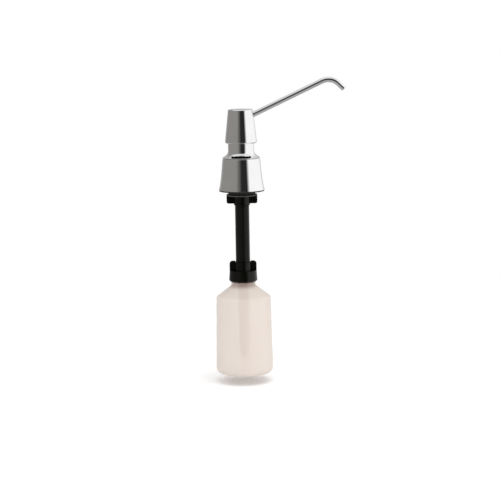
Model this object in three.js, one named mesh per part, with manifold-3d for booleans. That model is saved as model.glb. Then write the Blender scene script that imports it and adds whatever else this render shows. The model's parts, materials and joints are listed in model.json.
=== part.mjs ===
// Deck-mounted manual soap dispenser: a chromed press head with a swinging spout on a
// tapered deck bell, a black shank with a winged lock nut, and a winged cap that holds the
// soap bottle below the deck. The pump runs down the shank into the bottle.
// Millimetres, +Z up. The origin is on the shank's axis, at the deck surface under the
// bell's gasket. The spout reaches out towards +X, and the key slot faces -Y.

import * as THREE from 'three';
import { mergeVertices } from 'three/addons/utils/BufferGeometryUtils.js';
import Module from 'manifold-3d';

const wasm = await Module();
wasm.setup();

// ---------------------------------------------------------------- driving dimensions

const FACETS = 32; // sides of the round pieces
const FINE_FACETS = 20; // sides of the small round pieces
const GAP = 0.3; // room between pieces that touch
const SLIP = 0.2; // room on radius where a piece fits in another

const GASKET_THICKNESS = 1.5;
const GASKET_BORE_R = 25;
const BELL_FOOT_Z = GASKET_THICKNESS + GAP;
const BELL_SHOULDER_Z = 48.8;
const BELL_FOOT_R = 33.9;
const BELL_SHOULDER_R = 27.75;
const BELL_WALL = 1.4;
const THROAT_R = 20.9; // hole in the bell that the valve drops into
const THROAT_WALL = 1.8;
const THROAT_LIP_Z = 19.5; // lip that carries the shank's flange
const THROAT_LIP_R = 11.2;

const SHANK_R = 10.7;
const SHANK_BORE_R = 8.2;
const SHANK_FLANGE_THICKNESS = 6;
const SHANK_END_Z = -125;

const CLAMP_R = 22.8; // washer and wing tips of the lock nut
const CLAMP_BORE_R = 11; // clears the shank's thread
const CLAMP_GASKET_TOP_Z = -0.7;
const CLAMP_GASKET_R = 20;
const WASHER_TOP_Z = -5;
const WASHER_THICKNESS = 1.8;
const NUT_HUB_R = 12;
const NUT_WING_HEIGHT = 11.6;
const NUT_HEIGHT = 13.9;
const NUT_WING_CORNER_R = 3;
const WING_THICKNESS = 4;

const CAP_EAR_TOP_Z = -104.5;
const CAP_HUB_TOP_Z = -106.2;
const CAP_SKIRT_TOP_Z = -118.7;
const CAP_END_Z = -135.2;
const CAP_HUB_R = 12.2;
const CAP_SKIRT_R = 20.1;
const CAP_FOOT_R = 21.1;
const CAP_CHAMFER = 1.8;
const CAP_WALL = 2;
const CAP_EAR_CORNER_R = 4.5;
const CAP_TOP_THICKNESS = 2;

const BOTTLE_NECK_R = 16.7;
const BOTTLE_BAND_R = 17.9;
const BOTTLE_SHOULDER_R = 40.75;
const BOTTLE_BASE_R = 42.6;
const BOTTLE_WALL = 1.3;
const BOTTLE_BAND_Z = -140.9; // where the neck band meets the shoulder
const BOTTLE_SHOULDER_Z = -158.1;
const BOTTLE_BASE_Z = -274.2;
const BOTTLE_CORNER_R = 9;

const NECK_R = 19.3; // upright neck of the valve collar
const NECK_TOP_Z = 76.8;
const NECK_FOOT_Z = 58.3;
const COLLAR_EDGE_R = 27.4;
const COLLAR_BORE_R = 16.5;
const COLLAR_LIP_R = 13;
const SPIGOT_R = 20.4;
const SPIGOT_END_Z = 34.5;
const KEY_SLOT_WIDTH = 29;
const KEY_SLOT_HEIGHT = 2.6;
const KEY_SLOT_Z = 51.5;
const KEY_SLOT_BACK_R = 18.9;
const SEAL_GROOVE_Z = 41.6; // middle of the collar's O-ring groove
const SEAL_GROOVE_HALF = 1.2;
const SEAL_GROOVE_DEPTH = 1.9;

const CYLINDER_R = 7.5;
const CYLINDER_BORE_R = 6.2;
const CYLINDER_END_Z = -237.2;
const PISTON_R = 6.05;
const PISTON_TOP_Z = -184;
const PISTON_LENGTH = 14;
const STEM_R = 4;
const STEM_BORE_R = 2;
const STEM_TOP_Z = 99;
const STEM_SLIDE = 0.15; // room on radius where the stem slides
const BALL_R = 2.38; // 3/16 in check balls
const SEAT_HOLE_R = 1.6;
const SPRING_WIRE_R = 0.6;
const SPRING_MEAN_R = 4.9;
const SPRING_TURNS = 7;
const FITTING_TOP_Z = -233;
const FITTING_R = 6.5;
const INLET_END_Z = -249.2;

const HEAD_TOP_Z = 120.3;
const HEAD_TOP_R = 18.35;
const HEAD_RIM_Z = 72.3;
const HEAD_RIM_R = 23.55;
const HEAD_WALL = 1.7;
const HEAD_CHAMFER = 1.5;
const CORE_END_Z = 89;
const CORE_HUB_R = 9.5;
const CORE_FLANGE_R = 15.5;

const SPOUT_R = 3.97; // 5/16 in tube
const SPOUT_BORE_R = 2.8;
const SPOUT_REACH = 152.4; // axis to outlet, 6 in
const SPOUT_TIP_Z = 148;
const SPOUT_ROOT_Z = 103.8; // where the spout's line meets the axis
const SPOUT_RISE = THREE.MathUtils.degToRad(25);
const SPOUT_DROP = THREE.MathUtils.degToRad(44);
const SPOUT_BEND_R = 22;
const SPOUT_START = 6.5; // distance of the tube's inner end from the axis
const SPOUT_SEAL_AT = 10.5; // distance of its O-ring along the spout's line

// ---------------------------------------------------------------- materials

const surface = (color, roughness, metalness) =>
  new THREE.MeshStandardMaterial({ color, roughness, metalness });
const chrome = () => surface(0xd9dcdf, 0.07, 1);
const steel = () => surface(0xa9adb0, 0.3, 1);
const brass = () => surface(0xb58a45, 0.35, 1);
const blackPlastic = () => surface(0x0b0b0a, 0.45, 0);
const whitePlastic = () => surface(0xe6e4dd, 0.4, 0);
const bottlePlastic = () => surface(0xe6dad0, 0.45, 0);
const greyRubber = () => surface(0x2b2c28, 0.85, 0);
const blackRubber = () => surface(0x151515, 0.9, 0);

// ---------------------------------------------------------------- shape helpers

// A turned piece from its [radius, height] outline, closed on itself or ended on the axis.
function turned(outline, facets = FACETS) {
  const points = outline.map(([r, z]) => new THREE.Vector2(r, z));
  const onAxis = points[0].x === 0 && points[points.length - 1].x === 0;
  if (!onAxis) points.push(points[0].clone());
  if (THREE.ShapeUtils.area(points) < 0) points.reverse();
  return new THREE.LatheGeometry(points, facets).rotateX(Math.PI / 2);
}

// A turned ring with a square section.
const ring = (inner, outer, low, high, facets = FACETS) =>
  turned([[inner, low], [outer, low], [outer, high], [inner, high]], facets);

const rod = (radius, low, high, facets = FINE_FACETS) =>
  turned([[0, low], [radius, low], [radius, high], [0, high]], facets);

// An O-ring around the Z axis.
const sealRing = (meanRadius, wireRadius, z, facets = FINE_FACETS) =>
  turned(arc(meanRadius, z, wireRadius, 0, 300, 5), facets);

// Points [r, z] on an arc, in degrees, with both ends.
function arc(centreR, centreZ, radius, from, to, steps) {
  return Array.from({ length: steps + 1 }, (_, i) => {
    const angle = THREE.MathUtils.degToRad(from + ((to - from) * i) / steps);
    return [centreR + radius * Math.cos(angle), centreZ + radius * Math.sin(angle)];
  });
}

// A plate standing in the XZ plane, centred on y = 0.
function plate(shape, thickness) {
  const options = { depth: thickness, bevelEnabled: false, curveSegments: 5 };
  return new THREE.ExtrudeGeometry(shape, options)
    .translate(0, 0, -thickness / 2)
    .rotateX(Math.PI / 2);
}

function solid(geometry) {
  const bare = geometry.clone();
  bare.deleteAttribute('normal');
  bare.deleteAttribute('uv');
  const merged = mergeVertices(bare, 1e-4);
  return new wasm.Manifold(new wasm.Mesh({
    numProp: 3,
    vertProperties: new Float32Array(merged.attributes.position.array),
    triVerts: new Uint32Array(merged.index.array),
  }));
}

function geometryOf(manifold) {
  const { vertProperties, triVerts } = manifold.getMesh();
  const geometry = new THREE.BufferGeometry();
  geometry.setAttribute('position', new THREE.BufferAttribute(vertProperties, 3));
  geometry.setIndex(new THREE.BufferAttribute(triVerts, 1));
  geometry.computeVertexNormals();
  return geometry;
}

const joined = (first, ...rest) =>
  geometryOf(rest.reduce((whole, g) => whole.add(solid(g)), solid(first)));
const cut = (first, ...tools) =>
  geometryOf(tools.reduce((whole, g) => whole.subtract(solid(g)), solid(first)));

const object = new THREE.Group();

function place(name, geometry, material) {
  const mesh = new THREE.Mesh(geometry, material);
  mesh.name = name;
  object.add(mesh);
}

// ---------------------------------------------------------------- bell and shank

// Radius of the bell's outside at a share of the way down from its shoulder. It is nearly
// straight at first, and sweeps out into the foot.
const bellRadius = (share) => {
  const sweep = 1.95;
  const taper = BELL_FOOT_R - BELL_SHOULDER_R - sweep;
  return BELL_SHOULDER_R + taper * share + sweep * share ** 5;
};

function escutcheon() {
  const height = BELL_SHOULDER_Z - BELL_FOOT_Z;
  const shares = [1, 0.96, 0.88, 0.76, 0.55, 0.3, 0.1];
  const outside = shares.map((s) => [bellRadius(s), BELL_SHOULDER_Z - height * s]);
  const corner = arc(BELL_SHOULDER_R - 1.2, BELL_SHOULDER_Z - 1.2, 1.2, 30, 90, 2);
  const throatOutside = THROAT_R + THROAT_WALL;
  const inside = shares.map((s) => [bellRadius(s) - BELL_WALL, BELL_SHOULDER_Z - height * s]);
  return turned([
    ...outside,
    ...corner,
    [THROAT_R, BELL_SHOULDER_Z],
    [THROAT_R, THROAT_LIP_Z + 2],
    [THROAT_LIP_R, THROAT_LIP_Z + 2],
    [THROAT_LIP_R, THROAT_LIP_Z],
    [throatOutside, THROAT_LIP_Z],
    [throatOutside, BELL_SHOULDER_Z - 1.8],
    [BELL_SHOULDER_R - BELL_WALL, BELL_SHOULDER_Z - 1.8],
    ...inside.slice(0, -1).reverse(),
  ]);
}

const flangeFootZ = THROAT_LIP_Z + 2 + GAP;
const flangeTopZ = flangeFootZ + SHANK_FLANGE_THICKNESS;
const flangeR = THROAT_R - 0.4;
const throatRingTopZ = flangeTopZ + GAP + 5;
const throatRingBoreR = 9;

const shank = () =>
  turned([
    [SHANK_BORE_R, SHANK_END_Z],
    [SHANK_R - 0.6, SHANK_END_Z],
    [SHANK_R, SHANK_END_Z + 0.6],
    [SHANK_R, flangeFootZ],
    [flangeR, flangeFootZ],
    [flangeR, flangeTopZ],
    [SHANK_BORE_R, flangeTopZ],
  ]);

place('escutcheon', escutcheon(), chrome());
place('deck_gasket', ring(GASKET_BORE_R, BELL_FOOT_R - 0.5, 0, GASKET_THICKNESS), blackRubber());
place('shank', shank(), blackPlastic());
const throatRing = () => ring(throatRingBoreR, flangeR, flangeTopZ + GAP, throatRingTopZ);

place('throat_ring', throatRing(), brass());

// ---------------------------------------------------------------- clamp under the deck

const washerEndZ = WASHER_TOP_Z - WASHER_THICKNESS;
const nutTopZ = washerEndZ - GAP;

// A wing that stands out from a hub, with its outer corner rounded at the top or the foot.
function wing(tipR, low, high, cornerR, roundedAtTop) {
  const shape = new THREE.Shape();
  const root = CLAMP_BORE_R + 0.4;
  const [square, round, inward] = roundedAtTop ? [low, high, -cornerR] : [high, low, cornerR];
  shape.moveTo(root, square).lineTo(tipR, square).lineTo(tipR, round + inward);
  shape.quadraticCurveTo(tipR, round, tipR - cornerR, round).lineTo(root, round);
  shape.closePath();
  return plate(shape, WING_THICKNESS);
}

const bothSides = (geometry) => [geometry, geometry.clone().rotateZ(Math.PI)];

function lockNut() {
  const hub = ring(CLAMP_BORE_R, NUT_HUB_R, nutTopZ - NUT_HEIGHT, nutTopZ);
  const wingEndZ = nutTopZ - NUT_WING_HEIGHT;
  return joined(hub, ...bothSides(wing(CLAMP_R, wingEndZ, nutTopZ, NUT_WING_CORNER_R, false)));
}

const clampGasket = () =>
  ring(CLAMP_BORE_R, CLAMP_GASKET_R, WASHER_TOP_Z + GAP, CLAMP_GASKET_TOP_Z);
const washer = () => ring(CLAMP_BORE_R, CLAMP_R, washerEndZ, WASHER_TOP_Z);

place('clamp_gasket', clampGasket(), blackRubber());
place('clamp_washer', washer(), greyRubber());
place('lock_nut', lockNut(), blackPlastic());

// ---------------------------------------------------------------- cap and bottle

const seatRingTopZ = CAP_SKIRT_TOP_Z - CAP_TOP_THICKNESS - GAP;
const seatRingEndZ = SHANK_END_Z + 0.3;
const linerTopZ = SHANK_END_Z - GAP;
const linerEndZ = linerTopZ - 1.6;
const bottleTopZ = linerEndZ - GAP;
const insideCapR = 16.2;
const linerBoreR = 8.9;

function bottleCap() {
  const skirtBoreR = CAP_SKIRT_R - CAP_WALL;
  const capTopEndZ = CAP_SKIRT_TOP_Z - CAP_TOP_THICKNESS;
  const body = turned([
    [CLAMP_BORE_R, capTopEndZ],
    [skirtBoreR, capTopEndZ],
    [skirtBoreR, CAP_END_Z],
    [CAP_FOOT_R - CAP_CHAMFER, CAP_END_Z],
    [CAP_FOOT_R, CAP_END_Z + CAP_CHAMFER],
    [CAP_SKIRT_R, CAP_SKIRT_TOP_Z],
    [CAP_HUB_R, CAP_SKIRT_TOP_Z],
    [CAP_HUB_R, CAP_HUB_TOP_Z],
    [CLAMP_BORE_R, CAP_HUB_TOP_Z],
  ]);
  const earRootZ = CAP_SKIRT_TOP_Z - 1;
  return joined(body, ...bothSides(wing(CAP_SKIRT_R, earRootZ, CAP_EAR_TOP_Z, CAP_EAR_CORNER_R, true)));
}

function bottle() {
  const neckBoreR = BOTTLE_NECK_R - 1.8;
  const cornerCentre = [BOTTLE_BASE_R - BOTTLE_CORNER_R, BOTTLE_BASE_Z + BOTTLE_CORNER_R];
  const innerCornerR = BOTTLE_CORNER_R - BOTTLE_WALL;
  const pushUpR = BOTTLE_BASE_R - 2 * BOTTLE_CORNER_R;
  const pushUpZ = BOTTLE_BASE_Z + 2.5;
  const bandTopZ = CAP_END_Z - 0.5;
  return turned([
    [0, pushUpZ],
    [pushUpR, pushUpZ],
    ...arc(...cornerCentre, BOTTLE_CORNER_R, -90, 0, 5),
    [BOTTLE_SHOULDER_R, BOTTLE_SHOULDER_Z - 2.4],
    [BOTTLE_SHOULDER_R - 0.5, BOTTLE_SHOULDER_Z - 0.4],
    [BOTTLE_SHOULDER_R - 2.2, BOTTLE_SHOULDER_Z + 1.1],
    [BOTTLE_BAND_R, BOTTLE_BAND_Z],
    [BOTTLE_BAND_R, bandTopZ - 0.6],
    [BOTTLE_NECK_R, bandTopZ],
    [BOTTLE_NECK_R, bottleTopZ],
    [neckBoreR, bottleTopZ],
    [neckBoreR, BOTTLE_BAND_Z + 0.5],
    [BOTTLE_BAND_R - BOTTLE_WALL, BOTTLE_BAND_Z - 0.9],
    [BOTTLE_SHOULDER_R - BOTTLE_WALL - 1.9, BOTTLE_SHOULDER_Z + 0.2],
    [BOTTLE_SHOULDER_R - BOTTLE_WALL, BOTTLE_SHOULDER_Z - 2.8],
    ...arc(...cornerCentre, innerCornerR, 0, -90, 4),
    [pushUpR, pushUpZ + BOTTLE_WALL],
    [0, pushUpZ + BOTTLE_WALL],
  ]);
}

const shankRing = () => ring(CLAMP_BORE_R, insideCapR, seatRingEndZ, seatRingTopZ);
const capLiner = () => ring(linerBoreR, insideCapR, linerEndZ, linerTopZ);

place('shank_ring', shankRing(), blackPlastic());
place('cap_liner', capLiner(), greyRubber());
place('bottle_cap', bottleCap(), blackPlastic());
place('bottle', bottle(), bottlePlastic());

// ---------------------------------------------------------------- valve: collar, guide, cylinder

// The collar's outside from its lower edge up to the neck: a flare that curves into the neck.
function flare(steps) {
  const curve = new THREE.QuadraticBezierCurve(
    new THREE.Vector2(COLLAR_EDGE_R + 0.4, BELL_SHOULDER_Z + 0.9),
    new THREE.Vector2(NECK_R + 0.6, NECK_FOOT_Z - 4.4),
    new THREE.Vector2(NECK_R, NECK_FOOT_Z),
  );
  return curve.getPoints(steps).map((p) => [p.x, p.y]);
}

function keySlot() {
  const half = KEY_SLOT_HEIGHT / 2;
  const straight = KEY_SLOT_WIDTH / 2 - half;
  const outline = new THREE.Shape();
  outline.absarc(straight, 0, half, -Math.PI / 2, Math.PI / 2, false);
  outline.absarc(-straight, 0, half, Math.PI / 2, (3 * Math.PI) / 2, false);
  outline.closePath();
  const options = { depth: COLLAR_EDGE_R, bevelEnabled: false, curveSegments: 5 };
  const prism = new THREE.ExtrudeGeometry(outline, options);
  prism.rotateX(Math.PI / 2).translate(0, -2, KEY_SLOT_Z);
  const back = rod(KEY_SLOT_BACK_R, KEY_SLOT_Z - 5, KEY_SLOT_Z + 5, FACETS);
  return cut(prism, back);
}

function valveCollar() {
  const grooveR = SPIGOT_R - SEAL_GROOVE_DEPTH;
  const grooveLow = SEAL_GROOVE_Z - SEAL_GROOVE_HALF;
  const grooveHigh = SEAL_GROOVE_Z + SEAL_GROOVE_HALF;
  const body = turned([
    [COLLAR_BORE_R, SPIGOT_END_Z],
    [SPIGOT_R, SPIGOT_END_Z],
    [SPIGOT_R, grooveLow],
    [grooveR, grooveLow],
    [grooveR, grooveHigh],
    [SPIGOT_R, grooveHigh],
    [SPIGOT_R, BELL_SHOULDER_Z + GAP],
    [COLLAR_EDGE_R, BELL_SHOULDER_Z + GAP],
    ...flare(6),
    [NECK_R, NECK_TOP_Z - 0.8],
    [NECK_R - 0.8, NECK_TOP_Z],
    [COLLAR_LIP_R, NECK_TOP_Z],
    [COLLAR_LIP_R, NECK_TOP_Z - 1.5],
    [COLLAR_BORE_R, NECK_TOP_Z - 1.5],
  ]);
  return cut(body, keySlot());
}

const cylinderNutEndZ = SPIGOT_END_Z + GAP;
const cylinderNutTopZ = cylinderNutEndZ + 5;
const cylinderFlangeZ = cylinderNutTopZ + GAP;
const cylinderTopZ = cylinderFlangeZ + 5;
const bushingEndZ = cylinderTopZ + GAP;
const bushingTopZ = NECK_TOP_Z - 1.5 - GAP;
const insertR = COLLAR_BORE_R - GAP;
const wiperSeatZ = bushingTopZ - 3;
const wiperSeatR = 6.8;
const wiperR = 5.5;
const wiperWireR = 1.1;
const guideHubR = 9.5;

// The bushing is a hub that guides the stem, a floor, and a rim that centres it in the neck.
const guideBushing = () =>
  turned([
    [STEM_R + STEM_SLIDE, bushingEndZ],
    [insertR, bushingEndZ],
    [insertR, bushingTopZ],
    [insertR - 2.4, bushingTopZ],
    [insertR - 2.4, bushingEndZ + 4],
    [guideHubR, bushingEndZ + 4],
    [guideHubR, bushingTopZ],
    [wiperSeatR, bushingTopZ],
    [wiperSeatR, wiperSeatZ],
    [STEM_R + STEM_SLIDE, wiperSeatZ],
  ]);

const pumpCylinder = () =>
  turned([
    [CYLINDER_BORE_R, CYLINDER_END_Z],
    [CYLINDER_R, CYLINDER_END_Z],
    [CYLINDER_R, cylinderFlangeZ],
    [insertR, cylinderFlangeZ],
    [insertR, cylinderTopZ],
    [CYLINDER_BORE_R, cylinderTopZ],
  ]);

place('valve_collar', valveCollar(), chrome());
place('collar_seal', sealRing(SPIGOT_R - 0.75, 1, SEAL_GROOVE_Z, FACETS), blackRubber());
place('guide_bushing', guideBushing(), whitePlastic());
place('stem_wiper', sealRing(wiperR, wiperWireR, wiperSeatZ + 1.4), blackRubber());
place('pump_cylinder', pumpCylinder(), whitePlastic());
const cylinderNut = ring(CYLINDER_R + SLIP, insertR, cylinderNutEndZ, cylinderNutTopZ);
place('cylinder_nut', cylinderNut, brass());

// ---------------------------------------------------------------- inlet valve

const chamberR = 3.2;
const ballLift = 1.2;
// How far a ball's centre stands off the edge of a hole that it rests on.
const standOff = (holeR) => Math.sqrt(BALL_R ** 2 - holeR ** 2);
const inletSeatZ = -242.5;
const inletBallZ = inletSeatZ + standOff(SEAT_HOLE_R) + 0.05;
const inletLipZ = inletBallZ + ballLift + standOff(2) + 0.05;
const inletJointZ = inletSeatZ - 0.5;
const strainerSeatZ = INLET_END_Z + 1 + SLIP;

const inletFitting = () =>
  turned([
    [2, FITTING_TOP_Z],
    [CYLINDER_BORE_R - SLIP, FITTING_TOP_Z],
    [CYLINDER_BORE_R - SLIP, CYLINDER_END_Z - GAP],
    [FITTING_R, CYLINDER_END_Z - GAP],
    [FITTING_R, inletJointZ],
    [chamberR, inletJointZ],
    [chamberR, inletLipZ],
    [2, inletLipZ],
  ], FINE_FACETS);

const inletSeat = () =>
  turned([
    [SEAT_HOLE_R, inletSeatZ],
    [SEAT_HOLE_R, strainerSeatZ + 2.5],
    [4.2, strainerSeatZ],
    [4.2, INLET_END_Z],
    [FITTING_R - 0.6, INLET_END_Z],
    [FITTING_R, INLET_END_Z + 0.6],
    [FITTING_R, inletJointZ - GAP],
    [chamberR - SLIP, inletJointZ - GAP],
    [chamberR - SLIP, inletSeatZ],
  ], FINE_FACETS);

function strainer() {
  const hole = rod(0.75, INLET_END_Z - 1, INLET_END_Z + 2, 8);
  const holes = [hole.clone()];
  for (let i = 0; i < 6; i += 1) {
    holes.push(hole.clone().translate(2.5, 0, 0).rotateZ((i * Math.PI) / 3));
  }
  return cut(rod(4, INLET_END_Z, INLET_END_Z + 1), ...holes);
}

const ball = (z) => new THREE.SphereGeometry(BALL_R, 14, 10).rotateX(Math.PI / 2).translate(0, 0, z);

place('inlet_fitting', inletFitting(), whitePlastic());
place('inlet_seat', inletSeat(), whitePlastic());
place('inlet_strainer', strainer(), steel());
place('inlet_ball', ball(inletBallZ), steel());

// ---------------------------------------------------------------- plunger and return spring

const pistonEndZ = PISTON_TOP_Z - PISTON_LENGTH;
const stemEndZ = PISTON_TOP_Z - 5.7;
const outletSeatZ = pistonEndZ + 4;
const outletBallZ = outletSeatZ + standOff(SEAT_HOLE_R) + 0.05;
const swivelGrooveZ = CORE_END_Z + 3.4;
const swivelGrooveR = STEM_R - 0.7;

const pistonStem = () =>
  turned([
    [STEM_BORE_R, stemEndZ],
    [STEM_R, stemEndZ],
    [STEM_R, swivelGrooveZ - 1.7],
    [swivelGrooveR, swivelGrooveZ - 1.7],
    [swivelGrooveR, swivelGrooveZ + 1.7],
    [STEM_R, swivelGrooveZ + 1.7],
    [STEM_R, STEM_TOP_Z],
    [STEM_BORE_R, STEM_TOP_Z],
  ], FINE_FACETS);

const piston = () =>
  turned([
    [SEAT_HOLE_R, pistonEndZ],
    [PISTON_R, pistonEndZ],
    [PISTON_R, pistonEndZ + 0.8],
    [PISTON_R - 1.15, pistonEndZ + 0.8],
    [PISTON_R - 1.15, pistonEndZ + 3.2],
    [PISTON_R, pistonEndZ + 3.2],
    [PISTON_R, PISTON_TOP_Z],
    [STEM_R + SLIP, PISTON_TOP_Z],
    [STEM_R + SLIP, stemEndZ - GAP],
    [chamberR, stemEndZ - GAP],
    [chamberR, outletSeatZ],
    [SEAT_HOLE_R, outletSeatZ],
  ], FINE_FACETS);

// The centre line of a spring wound evenly between two heights.
class SpringLine extends THREE.Curve {
  constructor(low, high) {
    super();
    this.low = low + SPRING_WIRE_R;
    this.high = high - SPRING_WIRE_R;
  }

  getPoint(t) {
    const angle = 2 * Math.PI * SPRING_TURNS * t;
    const z = this.low + (this.high - this.low) * t;
    return new THREE.Vector3(SPRING_MEAN_R * Math.cos(angle), SPRING_MEAN_R * Math.sin(angle), z);
  }
}

function returnSpring() {
  const wire = new THREE.Shape().absarc(0, 0, SPRING_WIRE_R, 0, 2 * Math.PI, false);
  const line = new SpringLine(FITTING_TOP_Z + GAP, pistonEndZ - GAP);
  const steps = 11 * SPRING_TURNS;
  return new THREE.ExtrudeGeometry(wire, { extrudePath: line, steps, curveSegments: 3 });
}

const pistonSeal = () =>
  ring(PISTON_R - 1, PISTON_R + 0.02, pistonEndZ + 1, pistonEndZ + 3, FINE_FACETS);

place('piston_stem', pistonStem(), steel());
place('piston', piston(), whitePlastic());
place('piston_seal', pistonSeal(), blackRubber());
place('return_spring', returnSpring(), steel());
place('outlet_ball', ball(outletBallZ), steel());

// ---------------------------------------------------------------- press head

const headTaper = (HEAD_RIM_R - HEAD_TOP_R) / (HEAD_TOP_Z - HEAD_RIM_Z);
const headRadius = (z) => HEAD_TOP_R + (HEAD_TOP_Z - z) * headTaper;

// Puts a piece that is made along +Z from the origin onto the spout's line.
const onSpoutLine = (geometry) =>
  geometry.rotateY(Math.PI / 2 - SPOUT_RISE).translate(0, 0, SPOUT_ROOT_Z);

// Lays a piece that is made along +Z along -X, at the height of the stem's groove.
const acrossHub = (geometry) => geometry.rotateY(-Math.PI / 2).translate(0, 0, swivelGrooveZ);

function headCover() {
  const roofZ = HEAD_TOP_Z - 2;
  const footZ = HEAD_RIM_Z - HEAD_CHAMFER;
  const shell = turned([
    [0, roofZ],
    [headRadius(roofZ) - HEAD_WALL, roofZ],
    [headRadius(footZ + 6) - HEAD_WALL, footZ + 6],
    [headRadius(HEAD_RIM_Z) - HEAD_WALL - 1, footZ],
    [HEAD_RIM_R - HEAD_CHAMFER, footZ],
    [HEAD_RIM_R, HEAD_RIM_Z],
    [headRadius(HEAD_TOP_Z - 1), HEAD_TOP_Z - 1],
    [headRadius(HEAD_TOP_Z - 1) - 0.9, HEAD_TOP_Z],
    [0, HEAD_TOP_Z],
  ]);
  const spoutHole = onSpoutLine(rod(SPOUT_R + GAP, 8, 40));
  return cut(shell, spoutHole);
}

const coreFlangeZ = 112;
const coreTopZ = HEAD_TOP_Z - 2 - GAP;
const stemSealZ = swivelGrooveZ + 3.6;
const headSealSeatR = 5.7; // seats of the stem's and the spout's O-rings
const headSealR = 4.88;
const headSealWireR = 0.65;

function headCore() {
  const body = turned([
    [STEM_R + STEM_SLIDE, CORE_END_Z],
    [CORE_HUB_R, CORE_END_Z],
    [CORE_HUB_R, coreFlangeZ],
    [CORE_FLANGE_R, coreFlangeZ],
    [CORE_FLANGE_R, coreTopZ],
    [0, coreTopZ],
    [0, STEM_TOP_Z + GAP],
    [STEM_R + STEM_SLIDE, STEM_TOP_Z + GAP],
    [STEM_R + STEM_SLIDE, stemSealZ + 1.2],
    [headSealSeatR, stemSealZ + 1.2],
    [headSealSeatR, stemSealZ - 1.2],
    [STEM_R + STEM_SLIDE, stemSealZ - 1.2],
  ], FINE_FACETS);
  const spoutBoss = onSpoutLine(rod(7, 3, 15));
  const riser = rod(STEM_BORE_R + 0.5, STEM_TOP_Z - 1, SPOUT_ROOT_Z + 1.5);
  const passage = onSpoutLine(rod(STEM_BORE_R + 0.5, 0, SPOUT_START + 1));
  const socket = onSpoutLine(rod(SPOUT_R + SLIP, SPOUT_START - GAP, 20));
  const sealSeat = onSpoutLine(rod(headSealSeatR, SPOUT_SEAL_AT - 1.2, SPOUT_SEAL_AT + 1.2));
  const screwHole = acrossHub(rod(1.7, 0, CORE_HUB_R + 1, 12));
  return geometryOf(
    solid(body).add(solid(spoutBoss))
      .subtract(solid(riser)).subtract(solid(passage)).subtract(solid(socket))
      .subtract(solid(sealSeat)).subtract(solid(screwHole)),
  );
}

// Stations along the spout's line, {x, z, angle}: straight up from the head, round the bend,
// and straight down to the outlet.
function spoutStations(bendSteps) {
  const rise = Math.tan(SPOUT_RISE);
  const drop = Math.tan(SPOUT_DROP);
  const cornerX = (SPOUT_TIP_Z + drop * SPOUT_REACH - SPOUT_ROOT_Z) / (rise + drop);
  const cornerZ = SPOUT_ROOT_Z + rise * cornerX;
  const turn = SPOUT_RISE + SPOUT_DROP;
  const tangent = SPOUT_BEND_R * Math.tan(turn / 2);
  const bendX = cornerX - tangent * Math.cos(SPOUT_RISE);
  const bendZ = cornerZ - tangent * Math.sin(SPOUT_RISE);
  const centreX = bendX + SPOUT_BEND_R * Math.sin(SPOUT_RISE);
  const centreZ = bendZ - SPOUT_BEND_R * Math.cos(SPOUT_RISE);
  const along = (distance) => ({
    x: distance * Math.cos(SPOUT_RISE),
    z: SPOUT_ROOT_Z + distance * Math.sin(SPOUT_RISE),
    angle: SPOUT_RISE,
  });
  const bend = Array.from({ length: bendSteps + 1 }, (_, i) => {
    const angle = SPOUT_RISE - (turn * i) / bendSteps;
    return {
      x: centreX - SPOUT_BEND_R * Math.sin(angle),
      z: centreZ + SPOUT_BEND_R * Math.cos(angle),
      angle,
    };
  });
  return [along(SPOUT_START), ...bend, { x: SPOUT_REACH, z: SPOUT_TIP_Z, angle: -SPOUT_DROP }];
}

// Sweeps an outline along stations in the XZ plane: the outline's x runs along Y, and its y
// stands square to the line.
function sweptInPlane(outline, stations, curveSegments) {
  const steps = stations.length - 1;
  const options = { depth: 1, steps, bevelEnabled: false, curveSegments };
  const geometry = new THREE.ExtrudeGeometry(outline, options);
  const position = geometry.attributes.position;
  for (let i = 0; i < position.count; i += 1) {
    const { x, z, angle } = stations[Math.round(position.getZ(i) * steps)];
    const side = position.getX(i);
    const up = position.getY(i);
    position.setXYZ(i, x - up * Math.sin(angle), side, z + up * Math.cos(angle));
  }
  return geometry;
}

function spoutTube() {
  const outline = new THREE.Shape().absarc(0, 0, SPOUT_R, 0, 2 * Math.PI, false);
  outline.holes.push(new THREE.Path().absarc(0, 0, SPOUT_BORE_R, 0, 2 * Math.PI, true));
  return sweptInPlane(outline, spoutStations(9), FINE_FACETS / 2);
}

// A set screw whose tip stands in the stem's groove, so that the head turns but stays on.
const swivelScrew = () => acrossHub(rod(1.5, swivelGrooveR + GAP, CORE_HUB_R - GAP, 12));

place('head_cover', headCover(), chrome());
place('head_core', headCore(), whitePlastic());
place('stem_seal', sealRing(headSealR, headSealWireR, stemSealZ), blackRubber());
place('swivel_screw', swivelScrew(), steel());
place('spout_tube', spoutTube(), chrome());
const spoutSeal = () => onSpoutLine(sealRing(headSealR, headSealWireR, SPOUT_SEAL_AT));

place('spout_seal', spoutSeal(), blackRubber());

export default object;
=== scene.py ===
"""Looks of a deck-mounted soap dispenser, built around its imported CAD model. Metres, +Z up.

Every turned piece is turned again from its CAD outline, with fine facets and rounded edges.
The spout, the spring, the wings, the key slot and the screw threads are made here.
"""

import json
import math

import bmesh
import bpy
from mathutils import Matrix, Vector


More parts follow.
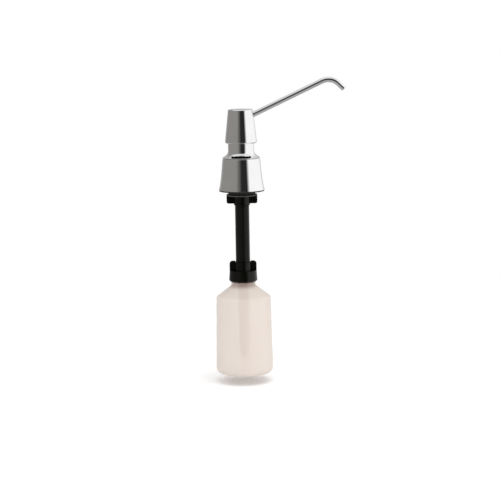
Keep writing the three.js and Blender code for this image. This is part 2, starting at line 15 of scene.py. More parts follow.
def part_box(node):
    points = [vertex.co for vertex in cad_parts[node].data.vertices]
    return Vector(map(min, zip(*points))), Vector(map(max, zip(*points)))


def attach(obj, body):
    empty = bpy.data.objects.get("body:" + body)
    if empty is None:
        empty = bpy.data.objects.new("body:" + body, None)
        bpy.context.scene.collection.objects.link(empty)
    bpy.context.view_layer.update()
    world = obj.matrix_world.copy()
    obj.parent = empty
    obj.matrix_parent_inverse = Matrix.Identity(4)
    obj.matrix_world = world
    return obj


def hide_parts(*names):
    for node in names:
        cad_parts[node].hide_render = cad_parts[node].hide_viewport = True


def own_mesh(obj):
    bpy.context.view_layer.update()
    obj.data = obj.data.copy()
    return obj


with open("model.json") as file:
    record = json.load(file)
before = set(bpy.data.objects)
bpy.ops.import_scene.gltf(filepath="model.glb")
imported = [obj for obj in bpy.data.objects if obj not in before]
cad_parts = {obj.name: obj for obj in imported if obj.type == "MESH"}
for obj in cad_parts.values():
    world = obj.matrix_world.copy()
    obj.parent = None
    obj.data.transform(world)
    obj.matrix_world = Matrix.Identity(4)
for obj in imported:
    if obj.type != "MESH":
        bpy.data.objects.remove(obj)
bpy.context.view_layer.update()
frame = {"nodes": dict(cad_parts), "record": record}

MM = 0.001
SLOT_OF = {s["node"]: s["material_slot"] for s in frame["record"]["subparts"]}
BODY_OF = {n: b for b, ns in frame["record"]["behaviour"]["bodies"].items() for n in ns}

# ---------------------------------------------------------------- design values, as in the CAD

SHANK_R = 10.7 * MM
SHANK_PITCH = 1.814 * MM
SHANK_THREAD_DEPTH = 0.35 * MM
SHANK_THREAD_LOW = -124 * MM
SHANK_THREAD_HIGH = 16 * MM
SHANK_THREAD_RUNOUT = 2 * MM
NECK_R = 16.7 * MM
NECK_PITCH = 4.233 * MM
NECK_THREAD_HEIGHT = 0.95 * MM
NECK_THREAD_START = -128.6 * MM
NECK_THREAD_LOW = -136 * MM
NECK_THREAD_HIGH = -127 * MM
WING_THICKNESS = 4 * MM
WING_ROOT = 11.4 * MM
KEY_SLOT_WIDTH = 29 * MM
KEY_SLOT_HEIGHT = 2.6 * MM
KEY_SLOT_Z = 51.5 * MM
KEY_SLOT_BACK_R = 18.9 * MM
SPOUT_R = 3.97 * MM
SPOUT_BORE_R = 2.8 * MM
SPOUT_REACH = 152.4 * MM
SPOUT_TIP_Z = 148 * MM
SPOUT_ROOT_Z = 103.8 * MM
SPOUT_RISE = math.radians(25)
SPOUT_DROP = math.radians(44)
SPOUT_BEND_R = 22 * MM
SPOUT_START = 6.5 * MM
SPOUT_SEAL_AT = 10.5 * MM
SPOUT_SEAL_R = 4.88 * MM
SPOUT_SEAL_WIRE_R = 0.65 * MM
SEAL_GROOVE_R = 5.7 * MM
SCREW_Z = 92.4 * MM
BALL_R = 2.38 * MM
SPRING_WIRE_R = 0.6 * MM
SPRING_MEAN_R = 4.9 * MM
SPRING_TURNS = 7
SPRING_LOW = -232.7 * MM
SPRING_HIGH = -198.3 * MM
EDGE = 0.35 * MM
SHARP_TURN = math.radians(28)
SHADE_ANGLE = math.radians(35)
ARC_STEPS = 4
TINY = 0.05 * MM

# ---------------------------------------------------------------- node helpers


def new_material(name):
    material = bpy.data.materials.new(name)
    material.use_nodes = True
    tree = material.node_tree
    return material, tree, tree.nodes["Principled BSDF"]


def add(tree, kind, **inputs):
    """A shader node with its inputs set by name, or linked where a socket is given."""
    node = tree.nodes.new(kind)
    for key, value in inputs.items():
        socket = node.inputs.get(key.replace("_", " "))
        if socket is None:
            setattr(node, key, value)
        elif isinstance(value, bpy.types.NodeSocket):
            tree.links.new(value, socket)
        else:
            socket.default_value = value
    return node


def noise(tree, scale, detail=3.0, stretch=(1, 1, 1)):
    """Noise in the object's own frame, scale cycles to a metre, stretched along the axes."""
    where = add(tree, "ShaderNodeTexCoord").outputs["Object"]
    mapping = add(tree, "ShaderNodeMapping", Vector=where, Scale=stretch)
    return add(
        tree, "ShaderNodeTexNoise", Vector=mapping.outputs["Vector"], Scale=scale, Detail=detail
    ).outputs["Fac"]


def spread(tree, factor, low, high, start=0.3, end=0.7):
    """A factor's range from start to end, mapped to low to high."""
    node = add(tree, "ShaderNodeMapRange", Value=factor)
    node.inputs["From Min"].default_value = start
    node.inputs["From Max"].default_value = end
    node.inputs["To Min"].default_value = low
    node.inputs["To Max"].default_value = high
    return node.outputs["Result"]


def mixed(tree, factor, first, second):
    """A mix of two colours, each a socket or red, green and blue."""
    node = add(tree, "ShaderNodeMix", data_type="RGBA")
    tree.links.new(factor, node.inputs["Factor"])
    for socket, colour in (("A", first), ("B", second)):
        if isinstance(colour, bpy.types.NodeSocket):
            tree.links.new(colour, node.inputs[socket])
        else:
            node.inputs[socket].default_value = (*colour, 1)
    return node.outputs["Result"]


def clouded(tree, shader, scale, detail, first, second):
    """A base colour that drifts softly between two colours."""
    cloud = spread(tree, noise(tree, scale, detail), 0, 1)
    tree.links.new(mixed(tree, cloud, first, second), shader.inputs["Base Color"])


def bump(tree, height, strength, distance):
    return add(
        tree, "ShaderNodeBump", Height=height, Strength=strength, Distance=distance
    ).outputs["Normal"]


# ---------------------------------------------------------------- materials


def chrome():
    material, tree, shader = new_material("chrome")
    shader.inputs["Metallic"].default_value = 1.0
    clouded(tree, shader, 60, 4, (0.90, 0.90, 0.90), (0.94, 0.94, 0.94))
    haze = noise(tree, 220, 5, (1, 1, 0.25))
    tree.links.new(spread(tree, haze, 0.035, 0.085), shader.inputs["Roughness"])
    tree.links.new(bump(tree, noise(tree, 900, 2), 0.05, 0.00004), shader.inputs["Normal"])
    return material


def black_plastic():
    material, tree, shader = new_material("black_plastic")
    clouded(tree, shader, 45, 4, (0.0016, 0.0016, 0.0008), (0.0032, 0.0032, 0.0018))
    tree.links.new(spread(tree, noise(tree, 700, 4), 0.14, 0.24), shader.inputs["Roughness"])
    shader.inputs["IOR"].default_value = 1.33
    tree.links.new(bump(tree, noise(tree, 2600, 3), 0.15, 0.00005), shader.inputs["Normal"])
    return material


def bottle_plastic():
    """Translucent polyethylene, darker from the shoulder up, and darker still in a band at the
    neck, which is painted shadow under the cap.
    """
    material, tree, shader = new_material("bottle_plastic")
    cloud = noise(tree, 22, 3, (1, 1, 0.6))
    milky = mixed(tree, spread(tree, cloud, 0, 1), (0.85, 0.76, 0.70), (0.88, 0.80, 0.73))
    where = add(tree, "ShaderNodeTexCoord").outputs["Object"]
    height = add(tree, "ShaderNodeSeparateXYZ", Vector=where).outputs["Z"]
    # Darker from the shoulder up.
    shoulder = spread(tree, height, 0, 1, -0.161, -0.155)
    # The band at the neck, just under the cap, is painted shadow of the cap.
    neck = spread(tree, height, 0, 1, -0.145, -0.139)
    darker_shoulder = mixed(tree, shoulder, milky, (0.75, 0.67, 0.605))
    with_painted_neck_shadow = mixed(tree, neck, darker_shoulder, (0.44, 0.33, 0.28))
    tree.links.new(with_painted_neck_shadow, shader.inputs["Base Color"])
    tree.links.new(spread(tree, noise(tree, 180, 4), 0.34, 0.46), shader.inputs["Roughness"])
    shader.inputs["IOR"].default_value = 1.45
    shader.inputs["Alpha"].default_value = 0.5
    ripple = noise(tree, 260, 3, (1, 1, 0.5))
    tree.links.new(bump(tree, ripple, 0.10, 0.0003), shader.inputs["Normal"])
    return material


def white_plastic():
    material, tree, shader = new_material("white_plastic")
    clouded(tree, shader, 80, 3, (0.56, 0.47, 0.46), (0.62, 0.54, 0.52))
    tree.links.new(spread(tree, noise(tree, 500, 3), 0.32, 0.45), shader.inputs["Roughness"])
    tree.links.new(bump(tree, noise(tree, 1500, 2), 0.12, 0.00006), shader.inputs["Normal"])
    return material


def rubber(name, dark, light):
    material, tree, shader = new_material(name)
    clouded(tree, shader, 120, 4, dark, light)
    tree.links.new(spread(tree, noise(tree, 600, 4), 0.6, 0.8), shader.inputs["Roughness"])
    tree.links.new(bump(tree, noise(tree, 2200, 4), 0.4, 0.0001), shader.inputs["Normal"])
    return material


def turned_metal(name, dark, light, low, high):
    """A lathe-turned metal, with fine rings around Z."""
    material, tree, shader = new_material(name)
    shader.inputs["Metallic"].default_value = 1.0
    clouded(tree, shader, 90, 4, dark, light)
    rings = noise(tree, 400, 3, (0.05, 0.05, 12))
    tree.links.new(spread(tree, rings, low, high), shader.inputs["Roughness"])
    tree.links.new(bump(tree, rings, 0.15, 0.00005), shader.inputs["Normal"])
    return material


MATERIALS = {
    "chrome": chrome(),
    "black_plastic": black_plastic(),
    "bottle_plastic": bottle_plastic(),
    "white_plastic": white_plastic(),
    "grey_rubber": rubber("grey_rubber", (0.045, 0.045, 0.035), (0.075, 0.075, 0.06)),
    "black_rubber": rubber("black_rubber", (0.012, 0.012, 0.012), (0.022, 0.022, 0.022)),
    "steel": turned_metal("steel", (0.52, 0.53, 0.54), (0.62, 0.63, 0.64), 0.18, 0.34),
    "brass": turned_metal("brass", (0.62, 0.42, 0.16), (0.72, 0.52, 0.24), 0.22, 0.40),
}
# Painted shade: a near-black finish on the key slot's walls, standing in for the shade inside the
# deep, narrow slot.
SLOT_PAINTED_SHADE = rubber("key_slot_painted_shade", (0.0010, 0.0010, 0.0010), (0.0025, 0.0025, 0.0025))

# ---------------------------------------------------------------- outlines from the CAD


def cad_outline(node):
    """The (radius, height) outline of a turned CAD node, read off where it crosses the
    half-plane x = 0, y > 0. An outline that meets the axis starts and ends there."""
    mesh = frame["nodes"][node].data
    near = 0.02 * MM
    key_of = {
        v.index: (round(v.co.y / near), round(v.co.z / near))
        for v in mesh.vertices
        if abs(v.co.x) < near and v.co.y > -near
    }
    place = {key_of[i]: (max(mesh.vertices[i].co.y, 0.0), mesh.vertices[i].co.z) for i in key_of}
    links = {key: set() for key in place}
    for edge in mesh.edges:
        a, b = (key_of.get(i) for i in edge.vertices)
        if a is not None and b is not None and a != b:
            links[a].add(b)
            links[b].add(a)
    # Flat faces have no edge on the half-plane, so loose ends at one height are paired up,
    # from the axis outward.
    levels = {}
    for key in sorted(links):
        if len(links[key]) == (0 if key[0] == 0 else 1):
            levels.setdefault(key[1], []).append(key)
    for height, ends in levels.items():
        if len(ends) % 2:
            place[0, height] = (0.0, place[ends[0]][1])
            ends.insert(0, (0, height))
        for a, b in zip(ends[::2], ends[1::2]):
            links.setdefault(a, set()).add(b)
            links[b].add(a)
    on_axis = [key for key in links if key[0] == 0]
    here = min(on_axis or links, key=lambda key: key[1])
    walk = [here]
    while True:
        onward = [key for key in sorted(links[here]) if key not in walk]
        if not onward:
            break
        here = onward[0]
        walk.append(here)
    if len(walk) != len(links):
        raise ValueError(f"{node}: its outline has {len(links)} points, and {len(walk)} join up")
    outline = [Vector((0.0 if key[0] == 0 else place[key][0], place[key][1])) for key in walk]
    return outline, not on_axis


def turn_at(before, here, after):
    a, b = here - before, after - here
    if a.length < 1e-9 or b.length < 1e-9:
        return 0.0
    return a.angle(b)


def smoothed(outline, closed):
    """Curves the runs of the outline whose corners are slight, with cubic stretches."""
    count = len(outline)

    def point(i):
        return outline[i % count] if closed else outline[min(max(i, 0), count - 1)]

    turns = [turn_at(point(i - 1), point(i), point(i + 1)) for i in range(count)]
    if not closed:
        turns[0] = turns[-1] = math.pi
    curved = [math.radians(0.5) < t < SHARP_TURN for t in turns]
    result = []
    for i in range(count if closed else count - 1):
        a, b = point(i), point(i + 1)
        result.append(a)
        j = (i + 1) % count
        if not (curved[i] or curved[j]):
            continue
        length = (b - a).length
        straight = (b - a).normalized()
        start = (b - point(i - 1)).normalized() if curved[i] else straight
        end = (point(i + 2) - a).normalized() if curved[j] else straight
        for k in range(1, ARC_STEPS):
            t = k / ARC_STEPS
            result.append(
                a * (2 * t**3 - 3 * t**2 + 1)
                + start * length * (t**3 - 2 * t**2 + t)
                + b * (3 * t**2 - 2 * t**3)
                + end * length * (t**3 - t**2)
            )
    if not closed:
        result.append(outline[-1])
    return result


def rounded(outline, closed, radius):
    """Rounds the outline's sharp corners with arcs of about that radius."""
    count = len(outline)
    result = []
    for i, here in enumerate(outline):
        if not closed and i in (0, count - 1):
            result.append(here)
            continue
        before, after = outline[i - 1], outline[(i + 1) % count]
        turn = turn_at(before, here, after)
        if turn < SHARP_TURN:
            result.append(here)
            continue
        room = 0.42 * min((here - before).length, (after - here).length)
        cut = min(radius * math.tan(turn / 2), room)
        a = here + (before - here).normalized() * cut
        b = here + (after - here).normalized() * cut
        for k in range(ARC_STEPS + 1):
            t = k / ARC_STEPS
            result.append(a * (1 - t) ** 2 + here * 2 * t * (1 - t) + b * t**2)
    return result


# ---------------------------------------------------------------- meshes


def mesh_object(name, vertices, faces):
    mesh = bpy.data.meshes.new(name)
    mesh.from_pydata(vertices, [], faces)
    made = bmesh.new()
    made.from_mesh(mesh)
    bmesh.ops.remove_doubles(made, verts=made.verts, dist=1e-7)
    bmesh.ops.recalc_face_normals(made, faces=made.faces)
    made.to_mesh(mesh)
    made.free()
    obj = bpy.data.objects.new(name, mesh)
    bpy.context.scene.collection.objects.link(obj)
    return obj


def revolved(name, outline, closed, facets, offset=None):
    """Turns an outline about Z. offset(angle, radius, z) moves a point in or out."""
    count = len(outline)
    vertices = []
    for i in range(facets):
        angle = 2 * math.pi * i / facets
        for radius, z in outline:
            r = radius + (offset(angle, radius, z) if offset else 0.0)
            vertices.append((r * math.cos(angle), r * math.sin(angle), z))
    faces = []
    for i in range(facets):
        a, b = i * count, ((i + 1) % facets) * count
        for j in range(count if closed else count - 1):
            k = (j + 1) % count
            corners = [a + j, b + j, b + k, a + k]
            if outline[j][0] == 0.0:
                corners.remove(b + j)
            if outline[k][0] == 0.0:
                corners.remove(b + k)
            faces.append(corners)
    return mesh_object(name, vertices, faces)


def prism_faces(count):
    """The faces of a prism whose two ends have that many corners each."""
    faces = [list(range(count)), list(range(2 * count - 1, count - 1, -1))]
    faces += [[i, (i + 1) % count, count + (i + 1) % count, count + i] for i in range(count)]
    return faces


def shade(obj):
    for polygon in obj.data.polygons:
        polygon.use_smooth = True
    obj.data.set_sharp_from_angle(angle=SHADE_ANGLE)
    normals = obj.modifiers.new("even normals", "WEIGHTED_NORMAL")
    normals.keep_sharp = True
    normals.weight = 80


def boolean(obj, tool, operation):
    cut = obj.modifiers.new(operation.lower(), "BOOLEAN")
    cut.operation = operation
    cut.solver = "EXACT"
    cut.object = tool
    depsgraph = bpy.context.evaluated_depsgraph_get()
    result = bpy.data.meshes.new_from_object(obj.evaluated_get(depsgraph))
    obj.modifiers.clear()
    old, obj.data = obj.data, result
    bpy.data.meshes.remove(old)
    bpy.data.objects.remove(tool)
    return obj


def finish_piece(obj, node):
    """Gives a piece its material and its body, and hides the CAD node that it stands for."""
    obj.data.materials.clear()
    obj.data.materials.append(MATERIALS[SLOT_OF[node]])
    shade(obj)
    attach(obj, BODY_OF[node])
    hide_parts(node)
    return obj


def in_mm(*corners):
    """The points of an outline given in millimetres."""
    return [Vector((radius * MM, z * MM)) for radius, z in corners]


def fine_outline(outline, closed, edge=EDGE):
    return rounded(smoothed(outline, closed), closed, edge)


def turned(node, facets=96, edge=EDGE, outline=None):
    """A piece turned from its CAD outline, or from an open outline given instead."""
    points, closed = (outline, False) if outline else cad_outline(node)
    return revolved(node + "_piece", fine_outline(points, closed, edge), closed, facets)


def threaded(node, offset, low, high, step, facets):
    """A turned piece with rows close enough between two heights to carry a thread."""
    points, closed = cad_outline(node)
    rows = filled(fine_outline(points, closed), low, high, step)
    return revolved(node + "_piece", rows, closed, facets, offset)


# ---------------------------------------------------------------- special shapes


def ring_section(node):
    """A round section in place of a CAD O-ring's six-sided one."""
    points, _ = cad_outline(node)
    radii = [p.x for p in points]
    wire = (max(radii) - min(radii)) / 2
    middle = Vector(((max(radii) + min(radii)) / 2, sum(p.y for p in points) / len(points)))
    angles = [2 * math.pi * i / 20 for i in range(20)]
    return [middle + wire * Vector((math.cos(a), math.sin(a))) for a in angles], True


def filled(outline, low, high, step):
    """The outline with extra points along its upright stretches between two heights."""
    result = []
    for i, a in enumerate(outline):
        result.append(a)
        b = outline[(i + 1) % len(outline)]
        if abs(a.x - b.x) > 1e-6 or max(a.y, b.y) <= low or min(a.y, b.y) >= high:
            continue
        count = int(abs(b.y - a.y) / step)
        result += [a.lerp(b, k / count) for k in range(1, count)]
    return result


def fade(value, start, end):
    """0 before start, 1 after end, and smooth between."""
    t = min(max((value - start) / (end - start), 0.0), 1.0)
    return t * t * (3 - 2 * t)


def shank_thread(angle, radius, z):
    """How far the shank's thread cuts in. Its crests stay at the CAD radius."""
    if abs(radius - SHANK_R) > TINY or z > SHANK_THREAD_HIGH:
        return 0.0
    phase = (z / SHANK_PITCH - angle / (2 * math.pi)) % 1.0
    groove = 0.5 - 0.5 * math.cos(2 * math.pi * phase)
    return -SHANK_THREAD_DEPTH * groove * fade(SHANK_THREAD_HIGH - z, 0, SHANK_THREAD_RUNOUT)


def neck_thread(angle, radius, z):
    """The ridge of the bottle's thread, a turn and a half that runs out at both ends."""
    if abs(radius - NECK_R) > TINY or not NECK_THREAD_LOW < z < NECK_THREAD_HIGH:
        return 0.0
    along = (NECK_THREAD_START - z) / NECK_PITCH
    turns = along - angle / (2 * math.pi)
    ridge = 1 - fade(abs(turns - round(turns)), 0.12, 0.26)
    return NECK_THREAD_HEIGHT * ridge * fade(along, -0.1, 0.05) * (1 - fade(along, 1.35, 1.55))


def plate(name, points, thickness, bevel):
    """A plate in the XZ plane with its edges rounded."""
    half = thickness / 2
    vertices = [(x, side * half, z) for side in (-1, 1) for x, z in points]
    obj = mesh_object(name, vertices, prism_faces(len(points)))
    made = bmesh.new()
    made.from_mesh(obj.data)
    rim = [e for e in made.edges if abs(e.verts[0].co.y - e.verts[1].co.y) < 1e-6]
    bmesh.ops.bevel(made, geom=rim, offset=bevel, segments=3, profile=0.5, affect="EDGES")
    made.to_mesh(obj.data)
    made.free()
    return obj


def wing(tip, low, high, corner, at_top, side):
    """A wing that stands out from a hub to one side, its outer corner rounded."""
    z_round, z_square = (high, low) if at_top else (low, high)
    inward = -1 if at_top else 1
    points = [(WING_ROOT, z_square), (tip, z_square)]
    for k in range(9):
        turn = math.pi / 2 * k / 8
        points.append((
            tip - corner * (1 - math.cos(turn)),
            z_round + inward * corner * (1 - math.sin(turn)),
        ))
    points.append((WING_ROOT, z_round))
    return plate("wing", [(side * x, z) for x, z in points], WING_THICKNESS, 0.5 * MM)


def winged(node, *shape):
    """A turned piece with a wing on each side, of the shape that wing() takes."""
    obj = turned(node)
    for side in (1, -1):
        boolean(obj, wing(*shape, side), "UNION")
    return obj


def rod(name, radius, low, high, facets=64):
    outline = [Vector(c) for c in ((0, low), (radius, low), (radius, high), (0, high))]
    return revolved(name, outline, False, facets)


def on_spout_line(obj):
    """Puts a mesh made along +Z from the origin onto the spout's line."""
    turn = Matrix.Rotation(math.pi / 2 - SPOUT_RISE, 4, "Y")
    obj.data.transform(Matrix.Translation((0, 0, SPOUT_ROOT_Z)) @ turn)
    return obj


def on_screw_line(obj):
    """Puts a mesh made along +Z from the origin onto the swivel screw's line."""
    turn = Matrix.Rotation(-math.pi / 2, 4, "Y")
    obj.data.transform(Matrix.Translation((0, 0, SCREW_Z)) @ turn)
    return obj


def slot_tool():
    """The key slot's hollow: a stadium driven in from -Y to a round back wall."""
    half = KEY_SLOT_HEIGHT / 2
    straight = KEY_SLOT_WIDTH / 2 - half
    ring = []
    for side in (1, -1):
        for k in range(17):
            turn = -math.pi / 2 + math.pi * k / 16
            ring.append((side * (straight + half * math.cos(turn)), half * math.sin(turn) * side))
    vertices = [(x, y, KEY_SLOT_Z + z) for y in (-2 * MM, -30 * MM) for x, z in ring]
    tool = mesh_object("slot tool", vertices, prism_faces(len(ring)))
    back = rod("slot back", KEY_SLOT_BACK_R, KEY_SLOT_Z - 5 * MM, KEY_SLOT_Z + 5 * MM, 128)
    return boolean(tool, back, "DIFFERENCE")


def in_key_slot(point):
    """Whether a point of the collar is on a wall of the key slot."""
    half = KEY_SLOT_HEIGHT / 2
    beyond = max(abs(point.x) - (KEY_SLOT_WIDTH / 2 - half), 0.0)
    return point.y < 0 and math.hypot(beyond, point.z - KEY_SLOT_Z) < half + 0.02 * MM


def spout_stations(bend_steps, straight_steps=4):
    """Points along the spout's centre line, (x, z, angle): up, round the bend and down."""
    rise, drop = math.tan(SPOUT_RISE), math.tan(SPOUT_DROP)
    corner_x = (SPOUT_TIP_Z + drop * SPOUT_REACH - SPOUT_ROOT_Z) / (rise + drop)
    corner_z = SPOUT_ROOT_Z + rise * corner_x
    turn = SPOUT_RISE + SPOUT_DROP
    tangent = SPOUT_BEND_R * math.tan(turn / 2)
    upward = Vector((math.cos(SPOUT_RISE), math.sin(SPOUT_RISE)))
    start = Vector((corner_x, corner_z)) - tangent * upward
    centre = start + SPOUT_BEND_R * Vector((upward.y, -upward.x))
    root = Vector((0, SPOUT_ROOT_Z)) + SPOUT_START * upward
    stations = [(*root.lerp(start, k / straight_steps), SPOUT_RISE) for k in range(straight_steps)]
    for k in range(bend_steps + 1):
        angle = SPOUT_RISE - turn * k / bend_steps
        at = centre + SPOUT_BEND_R * Vector((-math.sin(angle), math.cos(angle)))
        stations.append((*at, angle))
    tip = Vector((SPOUT_REACH, SPOUT_TIP_Z))
    last = Vector(stations[-1][:2])
    stations += [(*last.lerp(tip, k / 3), -SPOUT_DROP) for k in (1, 2, 3)]
    return stations


def tube_along(name, stations, radius, bore, lip, facets=48):
    """A bent tube with both of its ends eased by a small rounding of the lip."""
    ends = []
    for at_start, (x, z, angle) in ((True, stations[0]), (False, stations[-1])):
        inward = 1 if at_start else -1
        for back, cut in ((lip, 0.0), (0.3 * lip, 0.3 * lip), (0.0, lip)):
            ends.append((
                x + inward * back * math.cos(angle), z + inward * back * math.sin(angle), angle, cut
            ))
    first, last = ends[:3], ends[3:]
    body = [(x, z, angle, 0.0) for x, z, angle in stations[1:-1]]
    outer = list(reversed(first)) + body + last
    loops = [(s, radius - s[3]) for s in outer] + [(s, bore + s[3] * 0.6) for s in reversed(outer)]
    vertices = []
    for (x, z, angle, _), r in loops:
        for k in range(facets):
            turn = 2 * math.pi * k / facets
            up, side = r * math.sin(turn), r * math.cos(turn)
            vertices.append((x - up * math.sin(angle), side, z + up * math.cos(angle)))
    faces = []
    for i in range(len(loops)):
        a, b = i * facets, ((i + 1) % len(loops)) * facets
        for k in range(facets):
            n = (k + 1) % facets
            faces.append([a + k, a + n, b + n, b + k])
    return mesh_object(name, vertices, faces)


def coil(name, mean, wire, low, high, turns, facets=12, steps_per_turn=40):
    """A round-wired spring with its wire ends closed off."""
    steps = turns * steps_per_turn
    pitch = (high - low - 2 * wire) / turns
    vertices = []
    for i in range(steps + 1):
        angle = 2 * math.pi * i / steps_per_turn
        out = Vector((math.cos(angle), math.sin(angle), 0))
        along = Vector((-mean * math.sin(angle), mean * math.cos(angle), pitch / (2 * math.pi)))
        up = along.normalized().cross(out) * -1
        middle = mean * out + Vector((0, 0, low + wire + pitch * i / steps_per_turn))
        for k in range(facets):
            turn = 2 * math.pi * k / facets
            vertices.append(middle + wire * (math.cos(turn) * out + math.sin(turn) * up))
    faces = [list(range(facets)), [steps * facets + k for k in reversed(range(facets))]]
    for i in range(steps):
        for k in range(facets):
            n = (k + 1) % facets
            a, b = i * facets, (i + 1) * facets
            faces.append([a + k, a + n, b + n, b + k])
    return mesh_object(name, vertices, faces)


def ball(node):
    """A check ball in the middle of the CAD one."""
    low, high = (Vector(c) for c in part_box(node))
    made = bmesh.new()
    bmesh.ops.create_icosphere(made, subdivisions=4, radius=BALL_R)
    mesh = bpy.data.meshes.new(node)
    made.to_mesh(mesh)
    made.free()
    mesh.transform(Matrix.Translation((0, 0, (low.z + high.z) / 2)))
    obj = bpy.data.objects.new(node + "_piece", mesh)
    bpy.context.scene.collection.objects.link(obj)
    return obj


def strainer():
    """A disc with a hole in the middle and six round it."""
    low, high, radius = -249.2, -248.2, 4
    disc = in_mm((0, low), (radius, low), (radius, high), (0, high))
    obj = turned("inlet_strainer", facets=48, outline=disc, edge=0.2 * MM)
    circle = [math.pi / 3 * k for k in range(6)]
    places = [(0, 0)] + [(2.5 * math.cos(a), 2.5 * math.sin(a)) for a in circle]
    for x, y in places:
        hole = rod("hole", 0.75 * MM, -250 * MM, -247 * MM, 20)
        hole.data.transform(Matrix.Translation((x * MM, y * MM, 0)))
        boolean(obj, hole, "DIFFERENCE")
    return obj


def head_core():
    """The core inside the press head: hub, roof flange and the boss that grips the spout."""
    flow_r, stem_r, groove_r = 2.5, 4.15, SEAL_GROOVE_R / MM
    hub_r, roof_r = 9.5, 15.5
    foot, groove_low, groove_high, stem_end = 89, 94.8, 97.2, 99.3
    flow_end, hub_top, roof_top = 104, 112, 118
    outline = in_mm(
        (0, flow_end), (flow_r, flow_end), (flow_r, stem_end), (stem_r, stem_end),
        (stem_r, groove_high), (groove_r, groove_high), (groove_r, groove_low),
        (stem_r, groove_low), (stem_r, foot), (hub_r, foot), (hub_r, hub_top),
        (roof_r, hub_top), (roof_r, roof_top), (0, roof_top),
    )
    obj = turned("head_core", facets=64, outline=outline, edge=0.2 * MM)
    boolean(obj, on_spout_line(rod("boss", 7 * MM, 4.2 * MM, 15 * MM, 48)), "UNION")
    bore_r, tube_stop, bore_end = SPOUT_R / MM + 0.2, 6.2, 20
    low, high = SPOUT_SEAL_AT / MM - 1.2, SPOUT_SEAL_AT / MM + 1.2
    bore = in_mm(
        (0, 0), (flow_r, 0), (flow_r, tube_stop), (bore_r, tube_stop), (bore_r, low),
        (groove_r, low), (groove_r, high), (bore_r, high), (bore_r, bore_end), (0, bore_end),
    )
    boolean(obj, on_spout_line(revolved("socket", bore, False, 48)), "DIFFERENCE")
    hole = on_screw_line(rod("screw hole", 1.7 * MM, 0, 10.5 * MM, 24))
    return boolean(obj, hole, "DIFFERENCE")


def swivel_screw():
    """The set screw, with a hex socket in its outer end."""
    tip, taper_end, head = 3.6, 4.3, 9.2
    tip_r, thread_r = 0.9, 1.5
    outline = in_mm((0, tip), (tip_r, tip), (thread_r, taper_end), (thread_r, head), (0, head))
    obj = turned("swivel_screw", facets=40, outline=outline, edge=0.15 * MM)
    boolean(obj, rod("hex", 0.85 * MM, 7.4 * MM, 9.6 * MM, 6), "DIFFERENCE")
    return on_screw_line(obj)


def spout_seal():
    middle = Vector((SPOUT_SEAL_R, SPOUT_SEAL_AT))
    angles = [2 * math.pi * i / 16 for i in range(16)]
    section = [middle + SPOUT_SEAL_WIRE_R * Vector((math.cos(a), math.sin(a))) for a in angles]
    return on_spout_line(revolved("spout_seal_piece", section, True, 48))


def shank():
    return threaded("shank", shank_thread, SHANK_THREAD_LOW, SHANK_THREAD_HIGH, SHANK_PITCH / 7, 60)


def bottle():
    return threaded("bottle", neck_thread, NECK_THREAD_LOW, NECK_THREAD_HIGH, 0.4 * MM, 144)


def lock_nut():
    return winged("lock_nut", 22.8 * MM, -18.7 * MM, -7.1 * MM, 3 * MM, False)


def bottle_cap():
    return winged("bottle_cap", 20.1 * MM, -119.7 * MM, -104.5 * MM, 4.5 * MM, True)


def valve_collar():
    return boolean(turned("valve_collar", 144, 0.5 * MM), slot_tool(), "DIFFERENCE")


def head_cover():
    hole = on_spout_line(rod("spout hole", SPOUT_R + 0.3 * MM, 8 * MM, 40 * MM))
    return boolean(turned("head_cover", 144, 0.8 * MM), hole, "DIFFERENCE")


def spout_tube():
    return tube_along("spout_tube_piece", spout_stations(28), SPOUT_R, SPOUT_BORE_R, 0.35 * MM)


def return_spring():
    return coil(
        "return_spring_piece", SPRING_MEAN_R, SPRING_WIRE_R, SPRING_LOW, SPRING_HIGH, SPRING_TURNS
    )


# ---------------------------------------------------------------- build

MAKERS = {
    "shank": shank,
    "bottle": bottle,
    "lock_nut": lock_nut,
    "bottle_cap": bottle_cap,
    "valve_collar": valve_collar,
    "head_cover": head_cover,
    "head_core": head_core,
    "swivel_screw": swivel_screw,
    "spout_seal": spout_seal,
    "spout_tube": spout_tube,
    "return_spring": return_spring,
    "inlet_strainer": strainer,
}

# The facets and the edge radius of turned pieces that are finer or coarser than the rest.
FINENESS = {
    "escutcheon": (160, 0.5 * MM),
    "deck_gasket": (128, 0.4 * MM),
    "piston_stem": (48, 0.2 * MM),
    "piston": (64, 0.15 * MM),
    "piston_seal": (64, 0.25 * MM),
    "inlet_seat": (64, 0.25 * MM),
    "inlet_fitting": (64, 0.25 * MM),
}
BALLS = ("inlet_ball", "outlet_ball")
ROUND_SEALS = ("collar_seal", "stem_wiper", "stem_seal")


def make(node):
    if node in MAKERS:
        return MAKERS[node]()
    if node in BALLS:
        return ball(node)
    if node in ROUND_SEALS:
        return revolved(node + "_piece", *ring_section(node), 96)
    return turned(node, *FINENESS.get(node, ()))


made_pieces = {node: finish_piece(make(node), node) for node in frame["nodes"]}

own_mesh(made_pieces["return_spring"])

# The key slot's walls take the near-black painted shade, for the shade inside the slot.
collar_mesh = made_pieces["valve_collar"].data
collar_mesh.materials.append(SLOT_PAINTED_SHADE)
for face in collar_mesh.polygons:
    if in_key_slot(face.center):
        face.material_index = 1

# ---------------------------------------------------------------- camera, light and floor

CAMERA_DOWN = math.radians(8.508)
CAMERA_ROLL = math.radians(0.95)
CAMERA_PLACE = (0.01069, -2.4, 0.27026)
CAMERA_LENS = 117.46
FLOOR_Z = -0.2872
FLOOR_R = 1.0
FLOOR_SIDES = 96

camera_data = bpy.data.cameras.new("camera")
camera_data.sensor_width = 36
camera_data.lens = CAMERA_LENS
camera = bpy.data.objects.new("camera", camera_data)
camera.matrix_world = (
    Matrix.Translation(CAMERA_PLACE)
    @ Matrix.Rotation(math.pi / 2 - CAMERA_DOWN, 4, "X")
    @ Matrix.Rotation(-CAMERA_ROLL, 4, "Z")
)
bpy.context.scene.collection.objects.link(camera)
bpy.context.scene.camera = camera


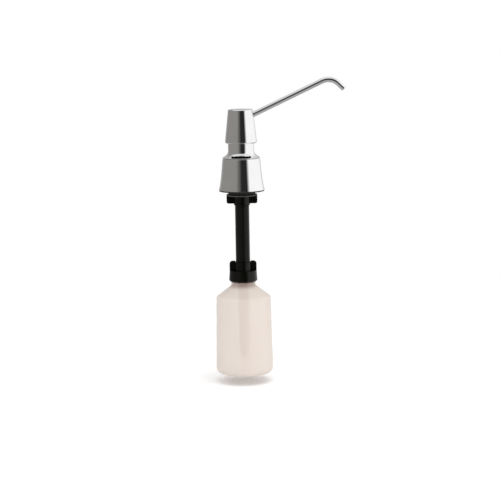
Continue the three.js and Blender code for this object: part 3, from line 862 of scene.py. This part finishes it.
def area_light(name, place, target, size, power):
    data = bpy.data.lights.new(name, "AREA")
    data.shape = "DISK"
    data.size = size
    data.energy = power
    lamp = bpy.data.objects.new(name, data)
    way = Vector(target) - Vector(place)
    turn = way.to_track_quat("-Z", "Y").to_matrix().to_4x4()
    lamp.matrix_world = Matrix.Translation(place) @ turn
    lamp.visible_glossy = False
    bpy.context.scene.collection.objects.link(lamp)


area_light("overhead", (0.3, -0.5, 1.8), (0, 0, -0.1), 1.4, 14)
area_light("side", (1.8, -1.2, 0.6), (0, 0, 0), 1.0, 3)

floor_turns = [2 * math.pi * k / FLOOR_SIDES for k in range(FLOOR_SIDES)]
floor_rim = [(FLOOR_R * math.cos(a), FLOOR_R * math.sin(a), FLOOR_Z) for a in floor_turns]
floor = mesh_object("floor", floor_rim, [list(range(FLOOR_SIDES))])
paper, paper_tree, paper_shader = new_material("paper")
clouded(paper_tree, paper_shader, 30, 4, (0.93, 0.93, 0.93), (0.95, 0.95, 0.95))
paper_shader.inputs["Roughness"].default_value = 0.8
floor.data.materials.append(paper)
floor.visible_glossy = False

# The studio that the chrome mirrors: a grey wall on the left, a black flag beside the camera
# and a white panel on the right, with a pale ceiling, floor and back. Azimuths are in degrees
# from the camera's side, growing to the right.
STUDIO_WALL = (0.27, 0.26, 0.25)
STUDIO_FLAG = (0.02, 0.02, 0.02)
STUDIO_PANEL = (1.0, 1.0, 1.0)
STUDIO_BACK = (0.5, 0.5, 0.5)
STUDIO_FLOOR = (0.4, 0.4, 0.4)
STUDIO_CEILING = (0.8, 0.8, 0.8)
FLAG_EDGE = (-30, 0)
PANEL_EDGE = (30, 45)
BACK_EDGE = (130, 170)
FLOOR_EDGE = (-20, -10)
CEILING_EDGE = (40, 60)


def math_node(tree, operation, first, second=None):
    node = tree.nodes.new("ShaderNodeMath")
    node.operation = operation
    for socket, value in zip(node.inputs, (first, second)):
        if isinstance(value, bpy.types.NodeSocket):
            tree.links.new(value, socket)
        elif value is not None:
            socket.default_value = value
    return node.outputs["Value"]


world = bpy.data.worlds.new("room")
bpy.context.scene.world = world
world.use_nodes = True
world.cycles.sampling_method = "NONE"
room = world.node_tree
room.nodes.clear()
way = room.nodes.new("ShaderNodeTexCoord").outputs["Generated"]
xyz = add(room, "ShaderNodeSeparateXYZ", Vector=way)
behind = math_node(room, "MULTIPLY", xyz.outputs["Y"], -1.0)
turn = math_node(room, "ARCTAN2", xyz.outputs["X"], behind)
azimuth = math_node(room, "MULTIPLY", turn, 180 / math.pi)
height = math_node(room, "ARCSINE", xyz.outputs["Z"])
degrees_up = math_node(room, "MULTIPLY", height, 180 / math.pi)
from_front = math_node(room, "ABSOLUTE", azimuth)
seen = mixed(room, spread(room, azimuth, 0, 1, *FLAG_EDGE), STUDIO_WALL, STUDIO_FLAG)
seen = mixed(room, spread(room, azimuth, 0, 1, *PANEL_EDGE), seen, STUDIO_PANEL)
seen = mixed(room, spread(room, from_front, 0, 1, *BACK_EDGE), seen, STUDIO_BACK)
seen = mixed(room, spread(room, degrees_up, 1, 0, *FLOOR_EDGE), seen, STUDIO_FLOOR)
seen = mixed(room, spread(room, degrees_up, 0, 1, *CEILING_EDGE), seen, STUDIO_CEILING)
rays = room.nodes.new("ShaderNodeLightPath")
light = mixed(room, rays.outputs["Is Glossy Ray"], (1, 1, 1), seen)
background = add(room, "ShaderNodeBackground", Color=light, Strength=1.0)
output = room.nodes.new("ShaderNodeOutputWorld")
room.links.new(background.outputs["Background"], output.inputs["Surface"])

bpy.context.scene.view_settings.view_transform = "Standard"
